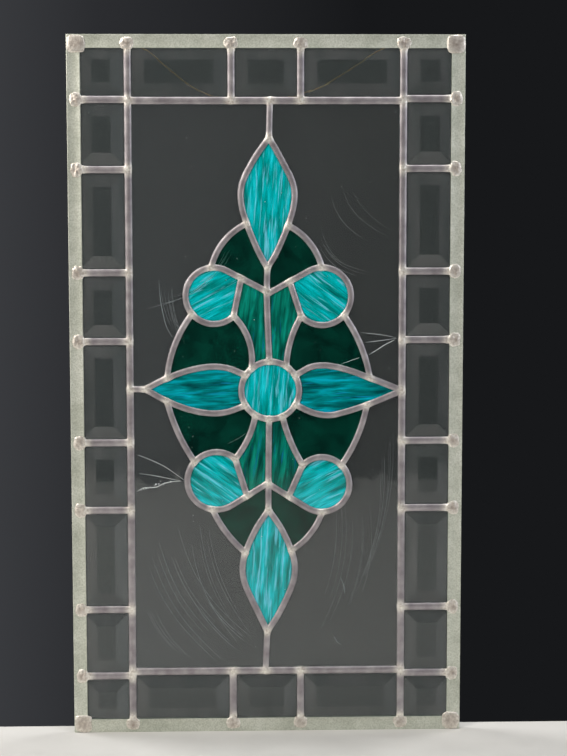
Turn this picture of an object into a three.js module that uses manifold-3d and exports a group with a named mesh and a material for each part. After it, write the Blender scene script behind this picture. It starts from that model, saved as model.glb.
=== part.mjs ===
// A leaded stained glass panel: an ornament of streaky and dark glass in a clear
// field, a border of bevelled plates, lead cames, a zinc frame and a copper wire.
// Millimetres, X to the right, front towards -Y, Z up.
import * as THREE from 'three';
import { mergeVertices } from 'three/addons/utils/BufferGeometryUtils.js';
import Module from 'manifold-3d';

const wasm = await Module();
wasm.setup();

// ---------------------------------------------------------------- dimensions
const inch = 25.4;
const gap = 0.3; // clearance between neighbouring pieces

// Zinc frame: an H section, mitred at the corners.
const frameWidth = 300;
const frameHeight = 536;
const frameFace = 10.35;
const frameFlange = 0.9;
const frameHalfDepth = 3;
const frameHeart = 1.6;
const openingX = frameWidth / 2 - frameFace;
const openingZ = frameHeight / 2 - frameFace;
const tuckedGlass = 3.2; // glass hidden in the zinc channel

// Lead came, an H section: round-backed in the border, flat in the ornament.
const borderCame = 5.6;
const ornamentCame = 4.8;
const leadHeart = 1.6;
const leadHalfDepth = 3;
const tuck = 0.5; // how far a came runs past the centre line that it butts on

// Glass.
const sheet = 3;
const bevelPlate = 4.8;
const bevelRim = 2.2;
const bevelSlope = 9.4;

// Border layout: stock bevels of 2 and 3 inches, a lead heart apart.
const shortPitch = 2 * inch + leadHeart;
const longPitch = 3 * inch + leadHeart;
const uprights = { left: -104.5, right: 103.5 };
const rails = { top: 218.7, bottom: -220.4 };
const columnDrop = { left: 2.0, right: 1.4 };
const rowShift = -0.5;
const rowBars = [rowShift - shortPitch / 2, rowShift + shortPitch / 2];
const columnBars = [
  longPitch * 1.5 + shortPitch * 2,
  longPitch * 1.5 + shortPitch,
  longPitch / 2 + shortPitch,
  longPitch / 2,
].flatMap((z) => [z, -z]).sort((a, b) => b - a);

// Ornament, from the middle of the panel.
const disc = { x: 2.5, z: -1, radius: 22.1 };
const discSides = 18;
const almonds = {
  top: { head: [1.8, 191], foot: [0.5, 92.5], belly: 147, half: 20, axis: 0.7 },
  bottom: { head: [1, -93.5], foot: [0, -189], belly: -140, half: 19.8, axis: 1.1 },
};
const quarters = {
  top_left: {
    side: -1, up: 1, rosette: [-40.4, 71.6], radius: 21.5, navel: [-0.5, 75], cusp: 19.5,
    ribHead: 46, ribFoot: 49, ribBow: 5.2,
    archHead: 40, archFoot: [-76.2, 9], archBow: 3.8,
    shoulderHead: [-18.6, 126], shoulderFoot: 85, shoulderBow: 4.9,
  },
  top_right: {
    side: 1, up: 1, rosette: [42.2, 70.9], radius: 22, navel: [0.6, 73], cusp: 17.5,
    ribHead: 43, ribFoot: 56, ribBow: 2.5,
    archHead: 41, archFoot: [78.8, 9], archBow: 3,
    shoulderHead: [18.6, 124.3], shoulderFoot: 91, shoulderBow: 4.6,
  },
  bottom_left: {
    side: -1, up: -1, rosette: [-38.9, -70.9], radius: 22.4, navel: [1, -72.5], cusp: 17.5,
    ribHead: 50, ribFoot: 59, ribBow: 2.4,
    archHead: 42, archFoot: [-76.4, -9.5], archBow: 2.3,
    shoulderHead: [-17.6, -126], shoulderFoot: 82, shoulderBow: 2.4,
  },
  bottom_right: {
    side: 1, up: -1, rosette: [42, -74.2], radius: 21.3, navel: [1, -73.5], cusp: 16.5,
    ribHead: 46.5, ribFoot: 65, ribBow: 1.6,
    archHead: 45, archFoot: [76.5, -13], archBow: 2.8,
    shoulderHead: [19, -126], shoulderFoot: 89, shoulderBow: 3.4,
  },
};
const leaves = {
  left: {
    side: -1, tip: [-93, 0.3], stem: [-104.5, 0.3],
    top: { points: [[-76.2, 8.8], [-59, 14.8], [-43, 17.4], [-30, 16.2]], root: 32 },
    bottom: { points: [[-76.4, -9], [-58, -16], [-42, -18.6], [-30, -17.4]], root: 31 },
  },
  right: {
    side: 1, tip: [103.5, -1.6], stem: null,
    top: { points: [[78.8, 8.2], [62, 14.4], [46, 17.9], [34, 17]], root: 31 },
    bottom: { points: [[76.5, -12.6], [60, -17.9], [48, -20.4], [36, -18.7]], root: 30 },
  },
};

// Solder that laps over the frame, and the copper hangers and wire behind.
const lump = { along: 6, across: 5.4, height: 1.5 };
const cornerLump = { reach: 8.4, height: 1.3, inset: 5.6 };
const hanger = { z: 263.2, radius: 3, wire: 1, sides: [5, 10], lap: 3.4 };
const wireDiameter = 0.9;
const wireSteps = 32;
const wireRoute = [
  [-101.5, 3.9, 260.7], [-97, 4.5, 259.2], [-88.5, 4.8, 255],
  [-76, 4.7, 244.6], [-63, 4.6, 233.8], [-52, 4.5, 227.2], [-40.5, 4.5, 222.3], [-28, 4.4, 219.5],
  [-15, 4.4, 218.6], [-4, 4.4, 219.5], [4, 4.4, 220.8], [13, 4.4, 221], [22, 4.4, 222.3],
  [32.3, 4.5, 225.6], [47, 4.5, 232], [61.5, 4.6, 240.8], [81, 4.7, 253.4], [90, 4.9, 258],
  [96, 4.5, 260.2], [100.5, 3.9, 260.7],
];

// ------------------------------------------------------------------ geometry
// A closed three.js geometry as a solid that can be joined and cut.
function solid(geometry) {
  const bare = geometry.clone();
  bare.deleteAttribute('normal');
  bare.deleteAttribute('uv');
  const merged = mergeVertices(bare, 1e-4);
  const mesh = new wasm.Mesh({
    numProp: 3,
    vertProperties: new Float32Array(merged.attributes.position.array),
    triVerts: new Uint32Array(merged.index.array),
  });
  return new wasm.Manifold(mesh);
}

function geometryOf(body) {
  const mesh = body.getMesh();
  const geometry = new THREE.BufferGeometry();
  geometry.setAttribute('position', new THREE.BufferAttribute(mesh.vertProperties, 3));
  geometry.setIndex(new THREE.BufferAttribute(mesh.triVerts, 1));
  const flat = geometry.toNonIndexed();
  flat.computeVertexNormals();
  return flat;
}

const join = (bodies) => bodies.reduce((all, body) => all.add(body));

// A block between two corners.
function block(x0, x1, y0, y1, z0, z1) {
  const box = new THREE.BoxGeometry(x1 - x0, y1 - y0, z1 - z0);
  return solid(box.translate((x0 + x1) / 2, (y0 + y1) / 2, (z0 + z1) / 2));
}

// An arc in the plane of the panel, as a curve in space.
class Arc extends THREE.Curve {
  constructor(centre, radius, from, to) {
    super();
    Object.assign(this, { centre, radius, from, to });
  }

  getPoint(t, target = new THREE.Vector3()) {
    const angle = this.from + (this.to - this.from) * t;
    const [x, z] = this.centre;
    return target.set(x + this.radius * Math.cos(angle), 0, z + this.radius * Math.sin(angle));
  }
}

const place = ([x, z]) => new THREE.Vector3(x, 0, z);
const line = (a, b) => new THREE.LineCurve3(place(a), place(b));

// A line between two cames, run on a little into both.
function brace(a, b) {
  const run = Math.hypot(b[0] - a[0], b[1] - a[1]);
  const extra = [0, 1].map((k) => ((b[k] - a[k]) / run) * tuck);
  return line([a[0] - extra[0], a[1] - extra[1]], [b[0] + extra[0], b[1] + extra[1]]);
}

const spline = (points) => new THREE.CatmullRomCurve3(points.map(place));

// An arc from a to b with a given rise to the left of the way, run on a little at both ends.
function bow(a, b, rise) {
  const dx = b[0] - a[0];
  const dz = b[1] - a[1];
  const chord = Math.hypot(dx, dz);
  const radius = (chord * chord) / (8 * Math.abs(rise)) + Math.abs(rise) / 2;
  const sign = Math.sign(rise);
  const offset = (radius - Math.abs(rise)) * sign;
  const centre = [(a[0] + b[0]) / 2 + (dz / chord) * offset, (a[1] + b[1]) / 2 - (dx / chord) * offset];
  const from = Math.atan2(a[1] - centre[1], a[0] - centre[0]);
  const turn = 2 * Math.asin(chord / 2 / radius);
  const extra = tuck / radius;
  return new Arc(centre, radius, from + extra * sign, from - (turn + extra) * sign);
}

// One quarter of an H section as [depth, across] points, turned into the whole.
function wholeSection(quarter) {
  const half = [...quarter, ...quarter.map(([y, a]) => [-y, a]).reverse()];
  const other = half.map(([y, a]) => [y, -a]).reverse();
  return [...half, ...other.filter(([, a]) => a !== 0)];
}

const leadFlangeFrom = sheet / 2 + gap;
const roundLead = (width) => wholeSection([
  [leadHalfDepth, 0], [leadFlangeFrom, width / 2], [leadFlangeFrom, leadHeart / 2],
]);
const flatLead = (width) => wholeSection([
  [leadHalfDepth, width / 2], [leadFlangeFrom, width / 2], [leadFlangeFrom, leadHeart / 2],
]);
const slot = leadHeart / 2 + gap;
const slotSection = [[sheet, slot], [sheet, -slot], [-sheet, -slot], [-sheet, slot]];

// A flat section keeps its depth along Y all the way round a curve in the panel's plane.
function uprightFrames(curve, steps) {
  const frames = { tangents: [], normals: [], binormals: [] };
  for (let i = 0; i <= steps; i += 1) {
    const tangent = curve.getTangentAt(i / steps);
    const normal = new THREE.Vector3(0, -1, 0);
    frames.tangents.push(tangent);
    frames.normals.push(normal);
    frames.binormals.push(new THREE.Vector3().crossVectors(tangent, normal).normalize());
  }
  return frames;
}

function swept(section, curve, steps) {
  curve.computeFrenetFrames = () => uprightFrames(curve, steps);
  const outline = new THREE.Shape(section.map(([y, a]) => new THREE.Vector2(y, a)));
  const geometry = new THREE.ExtrudeGeometry(outline, { steps, extrudePath: curve, bevelEnabled: false });
  const body = solid(geometry);
  return body.volume() > 0 ? body : solid(reversed(geometry));
}

function reversed(geometry) {
  const flat = geometry.index ? geometry.toNonIndexed() : geometry.clone();
  const { array } = flat.attributes.position;
  for (let i = 0; i < array.length; i += 9) {
    for (let k = 0; k < 3; k += 1) {
      [array[i + 3 + k], array[i + 6 + k]] = [array[i + 6 + k], array[i + 3 + k]];
    }
  }
  return flat;
}

// The same section turned round the disc in the middle.
function ring(section, { x, z, radius }) {
  const profile = section.map(([y, a]) => new THREE.Vector2(radius + a, y));
  profile.push(profile[0].clone());
  const geometry = new THREE.LatheGeometry(profile, discSides);
  const body = solid(geometry);
  const upright = body.volume() > 0 ? body : solid(reversed(geometry));
  return upright.translate([x, 0, z]);
}

// ------------------------------------------------------------------ ornament
// Each entry is a came's centre line and the longest step along it.
const roundStep = 10;
const easyStep = 20;
const ornamentLines = [];
const degrees = Math.PI / 180;

const sides = { left: -1, right: 1 };
const halves = { top: 1, bottom: -1 };

// A point of a circle, its angle counted from level, outwards and away from the middle.
const onCircle = ([x, z], radius, side, up, angle) =>
  [x + side * radius * Math.cos(angle), z + up * radius * Math.sin(angle)];

const almondSides = {};
for (const [end, { head, foot, belly, half, axis }] of Object.entries(almonds)) {
  const length = head[1] - foot[1];
  for (const [hand, side] of Object.entries(sides)) {
    almondSides[`${end}_${hand}`] = spline([
      head,
      [axis + side * half * 0.53, head[1] - length * 0.17],
      [axis + side * half * 0.98, belly + length * 0.08],
      [axis + side * half * 0.98, belly - length * 0.08],
      [axis + side * half * 0.38, foot[1] + length * 0.14],
      foot,
    ]);
  }
}

const leafSides = {};
for (const [hand, leaf] of Object.entries(leaves)) {
  for (const [end, up] of Object.entries(halves)) {
    const { points, root } = leaf[end];
    const rootPoint = onCircle([disc.x, disc.z], disc.radius, leaf.side, up, root * degrees);
    leafSides[`${end}_${hand}`] = spline([leaf.tip, ...points, rootPoint]);
  }
  if (leaf.stem) ornamentLines.push([line(leaf.stem, [leaf.tip[0] + 1.5, leaf.tip[1]]), easyStep * 2]);
}
for (const curve of [...Object.values(almondSides), ...Object.values(leafSides)]) {
  ornamentLines.push([curve, easyStep]);
}

// The point of a curve that is nearest to a given one.
function nearest(curve, [x, z]) {
  const wanted = new THREE.Vector3(x, 0, z);
  const points = curve.getPoints(200);
  const best = points.reduce((a, b) => (b.distanceTo(wanted) < a.distanceTo(wanted) ? b : a));
  return [best.x, best.z];
}

for (const [name, q] of Object.entries(quarters)) {
  const onRosette = (angle) => onCircle(q.rosette, q.radius, q.side, q.up, angle);
  // The rosette's came starts on the middle came, runs on to its circle and goes round it.
  const inwards = [(q.navel[0] - q.rosette[0]) * q.side, (q.navel[1] - q.rosette[1]) * q.up];
  const touch = Math.atan2(inwards[1], inwards[0])
    - Math.acos(q.radius / Math.hypot(inwards[0], inwards[1]));
  const touchAngle = touch < 0 ? touch + 2 * Math.PI : touch;
  const ribAngle = -Math.PI + q.ribHead * degrees;
  const round = new THREE.CurvePath();
  const turns = [touchAngle, ribAngle].map((angle) => angle * q.side * q.up);
  const base = q.side > 0 ? 0 : Math.PI;
  const arc = new Arc(q.rosette, q.radius, base + turns[0], base + turns[1]);
  round.add(line(q.navel, onRosette(touchAngle)));
  round.add(arc);
  ornamentLines.push([round, roundStep]);

  // The rosette's inner side closes it to a point on that came.
  const share = (q.cusp - Math.abs(q.navel[0])) / Math.abs(onRosette(touchAngle)[0] - q.navel[0]);
  const cusp = [0, 1].map((k) => q.navel[k] + (onRosette(touchAngle)[k] - q.navel[k]) * share);
  const ribHead = onRosette(ribAngle);
  ornamentLines.push([brace(cusp, ribHead), easyStep * 3]);

  // The rib to the disc, the arch to the leaf and the shoulder to the almond.
  const turn = q.side * q.up;
  const ribFoot = onCircle([disc.x, disc.z], disc.radius, q.side, q.up, q.ribFoot * degrees);
  ornamentLines.push([bow(ribHead, ribFoot, -q.ribBow * turn), easyStep]);
  const archHead = onRosette(-q.archHead * degrees);
  const archFoot = nearest(leafSides[name], q.archFoot);
  ornamentLines.push([bow(archHead, archFoot, q.archBow * turn), easyStep]);
  const shoulderFoot = onRosette(q.shoulderFoot * degrees);
  const shoulderHead = nearest(almondSides[name], q.shoulderHead);
  ornamentLines.push([bow(shoulderHead, shoulderFoot, q.shoulderBow * turn), easyStep]);
}

// Stems to the border, and the middle came from almond to disc.
const past = 1.5; // how far a stem runs into a pointed joint
const { top, bottom } = almonds;
ornamentLines.push([line([2.5, rails.top], [top.head[0], top.head[1] - past]), easyStep * 3]);
ornamentLines.push([line([-1.5, rails.bottom], [bottom.foot[0], bottom.foot[1] + past]), easyStep * 3]);
ornamentLines.push([spline([
  [top.foot[0], top.foot[1] + past], [0, 74], [1.8, disc.z + disc.radius],
]), easyStep * 2]);
ornamentLines.push([spline([
  [1.5, disc.z - disc.radius], [1, -73], [bottom.head[0], bottom.head[1] - past],
]), easyStep * 2]);

const ornamentSection = flatLead(ornamentCame);
const stepsOf = ([curve, step]) => Math.max(1, Math.round(curve.getLength() / step));
const inField = (edge) => [
  uprights.left + edge, uprights.right - edge, -sheet, sheet,
  rails.bottom + edge, rails.top - edge,
];
const ornamentCames = [
  ring(ornamentSection, disc),
  ...ornamentLines.map((entry) => swept(ornamentSection, entry[0], stepsOf(entry))),
];
const ornamentLead = join(ornamentCames).intersect(
  block(...inField(borderCame / 2 + gap).map((v, i) => (i === 2 || i === 3 ? v * 2 : v))),
);

// The field is cut along every heart, and each pane is found by a point inside it.
const cuts = join([
  ring(slotSection, disc),
  ...ornamentLines.map((entry) => swept(slotSection, entry[0], stepsOf(entry))),
]);
const [fieldX0, fieldX1, , , fieldZ0, fieldZ1] = inField(slot);
const panes = block(fieldX0, fieldX1, -sheet / 2, sheet / 2, fieldZ0, fieldZ1).subtract(cuts).decompose();

function paneAt([x, z]) {
  const probe = block(x - 0.5, x + 0.5, -0.5, 0.5, z - 0.5, z + 0.5);
  return panes.find((pane) => pane.intersect(probe).volume() > 0);
}

const paneSeeds = {
  streaky: {
    disc_centre: [disc.x, disc.z],
    leaf_left: [-45, 0], leaf_right: [50, 0],
    almond_top: [0, 141], almond_bottom: [1, -141],
    ...Object.fromEntries(Object.entries(quarters).map(([name, q]) => [`rosette_${name}`, q.rosette])),
  },
  teal: Object.fromEntries(Object.entries(quarters).map(([name, q]) => [
    `rib_pane_${name}`, [q.side * 9, q.up * 55],
  ])),
  green: Object.fromEntries(Object.entries(quarters).flatMap(([name, q]) => [
    [`arch_pane_${name}`, [q.side * 42, q.up * 32]], [`shoulder_pane_${name}`, [q.side * 20, q.up * 105]],
  ])),
  clear: Object.fromEntries(Object.entries(quarters).map(([name, q]) => [
    `field_pane_${name}`, [q.side * 80, q.up * 160],
  ])),
};

// -------------------------------------------------------------------- border
// A plate with a flat rim, a sloped bevel and a raised flat, all in one loft.
function bevelledPlate(x0, x1, z0, z1) {
  const back = sheet / 2;
  const rings = [
    [0, back], [0, back - sheet], [bevelRim, back - sheet], [bevelRim + bevelSlope, back - bevelPlate],
  ];
  const positions = rings.flatMap(([inset, y]) => [
    x0 + inset, y, z0 + inset, x1 - inset, y, z0 + inset,
    x1 - inset, y, z1 - inset, x0 + inset, y, z1 - inset,
  ]);
  const index = [0, 2, 1, 0, 3, 2];
  for (let level = 0; level < rings.length - 1; level += 1) {
    for (let k = 0; k < 4; k += 1) {
      const a = level * 4 + k;
      const b = level * 4 + ((k + 1) % 4);
      index.push(a, b, b + 4, a, b + 4, a + 4);
    }
  }
  const last = (rings.length - 1) * 4;
  index.push(last, last + 1, last + 2, last, last + 2, last + 3);
  const geometry = new THREE.BufferGeometry();
  geometry.setAttribute('position', new THREE.Float32BufferAttribute(positions, 3));
  geometry.setIndex(index);
  const body = solid(geometry);
  return body.volume() > 0 ? body : solid(reversed(geometry));
}

const glassX = openingX + tuckedGlass;
const glassZ = openingZ + tuckedGlass;
const bevels = {};
for (const side of ['left', 'right']) {
  const bars = columnBars.map((z) => z - columnDrop[side]);
  const levels = [glassZ + slot, ...bars, -glassZ - slot];
  const inner = uprights[side] + (side === 'left' ? -slot : slot);
  const outer = side === 'left' ? -glassX : glassX;
  levels.slice(1).forEach((z, i) => {
    const atEnd = i === 0 || i === levels.length - 2;
    const name = atEnd ? `bevel_corner_${i === 0 ? 'top' : 'bottom'}_${side}` : `bevel_${side}_${i}`;
    bevels[name] = bevelledPlate(
      Math.min(inner, outer), Math.max(inner, outer), z + slot, levels[i] - slot,
    );
  });
}
for (const [row, outer] of [['top', glassZ], ['bottom', -glassZ]]) {
  const stops = [uprights.left, ...rowBars, uprights.right];
  const inner = rails[row] + Math.sign(outer) * slot;
  stops.slice(1).forEach((x, i) => {
    bevels[`bevel_${row}_${i + 1}`] = bevelledPlate(
      stops[i] + slot, x - slot, Math.min(inner, outer), Math.max(inner, outer),
    );
  });
}

// The border's cames stop short of the zinc, and solder laps from them over its face.
const borderSection = roundLead(borderCame);
const bar = (a, b) => swept(borderSection, line(a, b), 1);
const endX = openingX - gap;
const endZ = openingZ - gap;
const borderEnds = [];
const borderCames = [
  bar([uprights.left, rails.top], [uprights.right, rails.top]),
  bar([uprights.left, rails.bottom], [uprights.right, rails.bottom]),
];
for (const [side, outer] of [['left', -endX], ['right', endX]]) {
  borderCames.push(bar([uprights[side], -endZ], [uprights[side], endZ]));
  borderEnds.push([uprights[side], endZ, 0], [uprights[side], -endZ, 0]);
  for (const z of columnBars) {
    borderCames.push(bar([uprights[side], z - columnDrop[side]], [outer, z - columnDrop[side]]));
    borderEnds.push([outer, z - columnDrop[side], 1]);
  }
}
for (const x of rowBars) {
  borderCames.push(bar([x, rails.top], [x, endZ]), bar([x, rails.bottom], [x, -endZ]));
  borderEnds.push([x, endZ, 0], [x, -endZ, 0]);
}

// A low mound of solder, flat below, round above, that faces the front.
function mound(x, z, radiusX, radiusZ, height, base) {
  const dome = new THREE.SphereGeometry(1, 8, 3);
  dome.rotateX(Math.PI / 2).scale(radiusX, height, radiusZ).translate(x, base, z);
  return solid(dome).intersect(block(x - 20, x + 20, base - 9, base, z - 20, z + 20));
}

const clearOfFrame = -frameHalfDepth - gap;
const lumpBase = -leadHalfDepth + 0.5;
const frameFaces = [
  block(-frameWidth, -openingX + gap, clearOfFrame, 9, -frameHeight, frameHeight),
  block(openingX - gap, frameWidth, clearOfFrame, 9, -frameHeight, frameHeight),
  block(-frameWidth, frameWidth, clearOfFrame, 9, openingZ - gap, frameHeight),
  block(-frameWidth, frameWidth, clearOfFrame, 9, -frameHeight, -openingZ + gap),
];
const lapCentre = frameFace * 0.36;
const lumps = borderEnds.map(([x, z, sideways]) => {
  const height = lump.height + 0.5;
  return sideways
    ? mound(x + Math.sign(x) * lapCentre, z, lump.across, lump.along, height, lumpBase)
    : mound(x, z + Math.sign(z) * lapCentre, lump.along, lump.across, height, lumpBase);
});
const borderLead = join([...borderCames, ...lumps.map((body) => body.subtract(join(frameFaces)))]);

// --------------------------------------------------------------------- frame
const frameSection = wholeSection([
  [frameHalfDepth, frameFace / 2],
  [frameHalfDepth - frameFlange, frameFace / 2],
  [frameHalfDepth - frameFlange, frameHeart / 2],
]);
const outX = frameWidth / 2;
const outZ = frameHeight / 2;
const midX = outX - frameFace / 2;
const midZ = outZ - frameFace / 2;

// A wedge that leaves a bar its mitred ends, half a clearance in from the mitre line.
function mitre(outline) {
  const shape = new THREE.Shape(outline.map(([x, z]) => new THREE.Vector2(x, z)));
  const wedge = new THREE.ExtrudeGeometry(shape, { depth: 20, bevelEnabled: false });
  return solid(wedge.rotateX(Math.PI / 2).translate(0, 10, 0));
}

const relief = (gap / 2) * Math.SQRT2;
const deep = 40;
const lyingMitre = (up) => mitre([
  [-outX + relief, up * outZ], [outX - relief, up * outZ],
  [outX - deep - relief, up * (outZ - deep)], [-outX + deep + relief, up * (outZ - deep)],
]);
const standingMitre = (side) => mitre([
  [side * outX, outZ - relief], [side * outX, -outZ + relief],
  [side * (outX - deep), -outZ + deep + relief], [side * (outX - deep), outZ - deep - relief],
]);
const frameBars = {};
for (const [name, up] of [['top', 1], ['bottom', -1]]) {
  const length = swept(frameSection, line([-outX, up * midZ], [outX, up * midZ]), 1);
  frameBars[name] = length.intersect(lyingMitre(up));
}
for (const [name, side] of [['left', -1], ['right', 1]]) {
  const length = swept(frameSection, line([side * midX, -outZ], [side * midX, outZ]), 1);
  frameBars[name] = length.intersect(standingMitre(side));
}

// Corner solder belongs to the standing bars and laps over the lying ones.
for (const [name, side] of [['left', -1], ['right', 1]]) {
  for (const up of [-1, 1]) {
    const x = side * (outX - cornerLump.inset);
    const z = up * (outZ - cornerLump.inset);
    const base = -frameHalfDepth + frameFlange / 2;
    const height = cornerLump.height + frameFlange / 2;
    const patch = mound(x, z, cornerLump.reach, cornerLump.reach, height, base)
      .intersect(block(-outX, outX, -20, 20, -outZ, outZ));
    const lyingBar = join([lyingMitre(up), lyingMitre(up).translate([side * gap, 0, -up * gap])])
      .intersect(block(-outX, outX, clearOfFrame, 9, -outZ - 1, outZ + 1));
    const overOpening = block(-openingX + gap, openingX - gap, clearOfFrame, 9, -openingZ + gap, openingZ - gap);
    frameBars[name] = frameBars[name].add(patch.subtract(lyingBar).subtract(overOpening));
  }
  // The two cuts leave slivers at the corner's tip, which are dropped.
  frameBars[name] = frameBars[name].decompose().sort((a, b) => b.volume() - a.volume())[0];
}

// ------------------------------------------------------------- hangers, wire
// A copper ring, its top buried in solder at the back of the frame.
function hangerAt(x) {
  const stand = frameHalfDepth + gap + hanger.wire / 2;
  const loop = new THREE.TorusGeometry(hanger.radius, hanger.wire / 2, ...hanger.sides);
  const copper = solid(loop.rotateX(Math.PI / 2).translate(x, stand, hanger.z));
  const top = hanger.z + hanger.radius;
  const solder = mound(x, -top, hanger.lap, 1.7, 1.5, -frameHalfDepth - gap).rotate([180, 0, 0]);
  return copper.add(solder);
}

const wireCurve = new THREE.CatmullRomCurve3(wireRoute.map(([x, y, z]) => new THREE.Vector3(x, y, z)));
const wireSection = new THREE.Shape();
wireSection.absarc(0, 0, wireDiameter / 2, 0, Math.PI * 2);
const wireGeometry = new THREE.ExtrudeGeometry(wireSection, {
  steps: wireSteps, curveSegments: 4, extrudePath: wireCurve, bevelEnabled: false,
});

// ------------------------------------------------------------------ assembly
const finish = (name, color, roughness, metalness, opacity = 1) =>
  new THREE.MeshStandardMaterial({ name, color, roughness, metalness, opacity, transparent: opacity < 1 });
const finishes = {
  zinc: finish('zinc', 0xb5baac, 0.5, 0.8),
  lead: finish('lead', 0x8f8a8c, 0.45, 0.8),
  copper: finish('copper', 0xb0703a, 0.35, 1),
  clear: finish('clear glass', 0xdfe8e6, 0.05, 0, 0.2),
  streaky: finish('streaky turquoise glass', 0x0a9fa6, 0.1, 0),
  teal: finish('teal glass', 0x0a6b5e, 0.1, 0, 0.85),
  green: finish('dark green glass', 0x06302a, 0.1, 0, 0.85),
};

// The model's origin is on the back of the top bar, midway between the hangers.
const panel = new THREE.Group();
panel.position.set(0, -frameHalfDepth, -midZ);

function addPiece(name, geometry, material) {
  const piece = new THREE.Mesh(geometry, material);
  piece.name = name;
  panel.add(piece);
}

for (const [name, body] of Object.entries(frameBars)) {
  addPiece(`frame_bar_${name}`, geometryOf(body), finishes.zinc);
}
addPiece('came_border', geometryOf(borderLead), finishes.lead);
addPiece('came_ornament', geometryOf(ornamentLead), finishes.lead);
for (const [name, body] of Object.entries(bevels)) {
  addPiece(name, geometryOf(body), finishes.clear);
}
for (const [glass, seeds] of Object.entries(paneSeeds)) {
  for (const [name, seed] of Object.entries(seeds)) {
    addPiece(name, geometryOf(paneAt(seed)), finishes[glass]);
  }
}
addPiece('hanger_left', geometryOf(hangerAt(uprights.left)), finishes.copper);
addPiece('hanger_right', geometryOf(hangerAt(uprights.right)), finishes.copper);
addPiece('hanging_wire', wireGeometry, finishes.copper);

const model = new THREE.Group();
model.add(panel);
export default model;
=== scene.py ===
# A leaded stained glass panel about 12 by 21 inches, in a zinc frame, hung by a copper wire.
# The file follows the panel as it is put together: lead, zinc frame, glass, rings and wire.
import math
import random

import bpy
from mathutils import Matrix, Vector, noise


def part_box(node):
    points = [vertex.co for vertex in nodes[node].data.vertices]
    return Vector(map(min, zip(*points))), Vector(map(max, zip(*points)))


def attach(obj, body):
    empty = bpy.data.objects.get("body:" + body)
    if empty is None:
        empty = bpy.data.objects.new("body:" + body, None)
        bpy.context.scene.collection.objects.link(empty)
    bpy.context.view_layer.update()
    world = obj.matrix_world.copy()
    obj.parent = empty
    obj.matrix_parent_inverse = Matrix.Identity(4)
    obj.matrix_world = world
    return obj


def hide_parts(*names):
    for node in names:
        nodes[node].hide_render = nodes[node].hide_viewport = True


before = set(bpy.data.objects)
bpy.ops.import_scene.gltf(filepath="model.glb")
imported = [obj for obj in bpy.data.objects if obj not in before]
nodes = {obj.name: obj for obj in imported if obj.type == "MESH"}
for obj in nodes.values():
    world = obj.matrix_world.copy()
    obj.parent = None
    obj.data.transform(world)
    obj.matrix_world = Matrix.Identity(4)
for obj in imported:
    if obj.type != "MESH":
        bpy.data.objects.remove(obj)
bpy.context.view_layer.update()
MM = 0.001

# ------------------------------------------------------------------ studio
# The panel is seen from the front, a little from above, by soft light that comes mostly from
# the upper left. The floor is plain and pale, and the room behind is dark, as clear glass needs.
bar_low, bar_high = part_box("frame_bar_left")
glass_low, glass_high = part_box("field_pane_top_left")
half_width = -bar_low.x
top_edge = bar_high.z
bottom_edge = bar_low.z
middle = Vector((0, (glass_low.y + glass_high.y) / 2, (top_edge + bottom_edge) / 2))

camera_data = bpy.data.cameras.new("camera")
camera_data.sensor_fit = "HORIZONTAL"
camera_data.sensor_width = 36
camera_data.lens = 127
camera = bpy.data.objects.new("camera", camera_data)
camera.location = (-0.036, -1.524, -0.082)
camera.rotation_euler = (math.radians(83.53), math.radians(0.05), math.radians(-1.84))
bpy.context.scene.collection.objects.link(camera)
bpy.context.scene.camera = camera
bpy.context.scene.view_settings.view_transform = "Standard"


def linear(colour):
    """An sRGB hex colour as linear red, green, blue and 1."""
    channels = [int(colour[i : i + 2], 16) / 255 for i in (1, 3, 5)]
    return [c / 12.92 if c < 0.04045 else ((c + 0.055) / 1.055) ** 2.4 for c in channels] + [1]


def soft_light(name, place, power, size, colour="#ffffff", aim=middle):
    data = bpy.data.lights.new(name, "AREA")
    data.shape = "RECTANGLE"
    data.size, data.size_y = size
    data.energy = power
    data.color = linear(colour)[:3]
    lamp = bpy.data.objects.new(name, data)
    lamp.location = place
    lamp.rotation_euler = (Vector(aim) - Vector(place)).to_track_quat("-Z", "Y").to_euler()
    bpy.context.scene.collection.objects.link(lamp)


soft_light("key", (-1.0, -1.1, 0.45), 16, (0.5, 0.9), "#fff8f0")
soft_light("fill", (1.1, -0.9, 0.1), 6, (0.6, 0.9), "#f2f6ff")
soft_light("top", (0.1, -0.5, 1.1), 9, (0.9, 0.4))
soft_light("back_key", (-1.1, 0.45, 0.5), 14, (0.6, 0.8))
soft_light("back_fill", (1.0, 0.5, 0.3), 8, (0.6, 0.8))

world = bpy.data.worlds.new("dark_room")
world.use_nodes = True
world.node_tree.nodes["Background"].inputs["Strength"].default_value = 1
bpy.context.scene.world = world


def clear_selection():
    bpy.ops.object.select_all(action="DESELECT")


def add_node(tree, kind, settings=None, **links):
    """A node of that kind. A link is the socket's name with _ for a space, and what feeds it."""
    node = tree.nodes.new(kind)
    for key, value in (settings or {}).items():
        if isinstance(key, str) and hasattr(node, key):
            setattr(node, key, value)
        else:
            node.inputs[key].default_value = value
    for key, source in links.items():
        tree.links.new(source, node.inputs[int(key[1:]) if key[0] == "_" else key.replace("_", " ")])
    return node


def new_material(name, **plain):
    """A material with one Principled shader, whose plain values sit on its own sockets."""
    material = bpy.data.materials.new(name)
    material.use_nodes = True
    shader = material.node_tree.nodes["Principled BSDF"]
    for key, value in plain.items():
        shader.inputs[key.replace("_", " ")].default_value = value
    return material, material.node_tree, shader


def object_points(tree, scale=(1, 1, 1), turn=(0, 0, 0), place=(0, 0, 0)):
    """Object coordinates in millimetres, moved, turned and scaled."""
    spot = add_node(tree, "ShaderNodeTexCoord")
    settings = {"Scale": [1000 * s for s in scale], "Rotation": turn, "Location": place}
    return add_node(tree, "ShaderNodeMapping", settings, Vector=spot.outputs["Object"]).outputs[0]


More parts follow.
